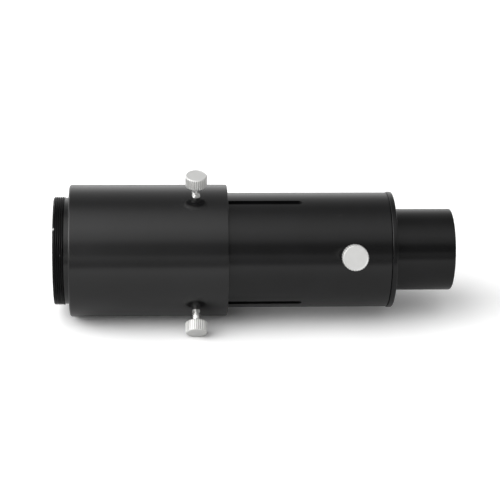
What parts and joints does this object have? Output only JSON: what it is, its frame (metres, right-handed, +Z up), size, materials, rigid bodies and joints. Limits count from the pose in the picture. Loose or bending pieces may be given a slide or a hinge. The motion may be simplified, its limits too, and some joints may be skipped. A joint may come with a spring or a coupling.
{
  "type": "telescope camera adapter",
  "caption": "Sliding tube adapter that joins a camera's threaded ring to a telescope's eyepiece holder, with a nosepiece, an inner eyepiece socket and fluted thumbscrews.",
  "frame": {"origin": "bottom centre of the box round the whole adapter, on the surface that it lies on", "axes": "+X along the tubes from the camera end to the telescope end, +Z up as it lies on its side, -Y towards the front, where the thumbscrews are"},
  "size_m": [0.1542, 0.0578, 0.0604],
  "materials": {
    "black_anodised_aluminium": "satin black anodised, fine turned",
    "black_anodised_thread": "black anodised, thread cut",
    "nickel_plated_steel": "bright nickel plate, fluted rim"
  },
  "bodies": {
    "sleeve": {"camera_sleeve": "black_anodised_aluminium", "t_thread_ring": "black_anodised_thread"},
    "barrel": {"inner_barrel": "black_anodised_aluminium", "eyepiece_socket": "black_anodised_aluminium", "nosepiece": "black_anodised_aluminium"},
    "upper_screw": {"upper_sleeve_screw": "nickel_plated_steel"},
    "lower_screw": {"lower_sleeve_screw": "nickel_plated_steel"},
    "lock_screw": {"eyepiece_lock_screw": "nickel_plated_steel"}
  },
  "joints": [
    {"name": "barrel_slide", "type": "slide", "parent": "sleeve", "child": "barrel", "axis": [1, 0, 0], "range_m": [-0.0394, 0]},
    {"name": "upper_screw_turn", "type": "hinge", "parent": "sleeve", "child": "upper_screw", "pos_m": [-0.0227, 0.00342, 0.0255], "axis": [0, -0.184, 0.9829], "range_deg": [0, 540]},
    {"name": "lower_screw_turn", "type": "hinge", "parent": "sleeve", "child": "lower_screw", "pos_m": [-0.0227, 0.00342, 0.0255], "axis": [0, -0.7593, -0.6508], "range_deg": [0, 540]},
    {"name": "lock_screw_turn", "type": "hinge", "parent": "barrel", "child": "lock_screw", "pos_m": [0.0364, 0.00342, 0.0255], "axis": [0, -0.9432, 0.3321], "range_deg": [-230, 720]}
  ]
}
